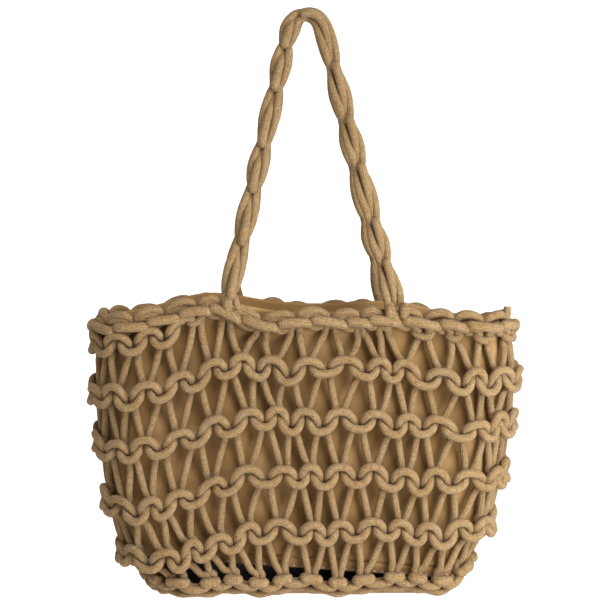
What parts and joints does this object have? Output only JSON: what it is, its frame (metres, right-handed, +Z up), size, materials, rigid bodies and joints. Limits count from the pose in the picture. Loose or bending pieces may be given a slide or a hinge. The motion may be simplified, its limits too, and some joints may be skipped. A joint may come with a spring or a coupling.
{
  "type": "crochet tote bag",
  "caption": "Openwork tote bag knitted from thick cotton rope, with a chained rim and base edge, a cloth lining, a dark base board and two arched chained rope handles.",
  "frame": {"origin": "the hanging point under the arch of the two handles, above the middle of the bag", "axes": "+Z up, -Y towards the front face, +X to the right seen from the front"},
  "size_m": [0.349, 0.109, 0.4644],
  "materials": {
    "cotton_rope": "tan knitted cotton rope",
    "lining_cloth": "tan plain-weave cotton",
    "board_black": "dull black board"
  },
  "bodies": {
    "root": {"base_mat": "cotton_rope", "base_edge": "cotton_rope", "net_course_1": "cotton_rope", "net_course_2": "cotton_rope", "net_course_3": "cotton_rope", "net_course_4": "cotton_rope", "net_course_5": "cotton_rope", "rim_chain": "cotton_rope", "lining_floor": "lining_cloth", "lining_front": "lining_cloth", "lining_right": "lining_cloth", "lining_back": "lining_cloth", "lining_left": "lining_cloth", "base_board": "board_black", "handle_front": "cotton_rope", "handle_back": "cotton_rope"}
  },
  "joints": []
}
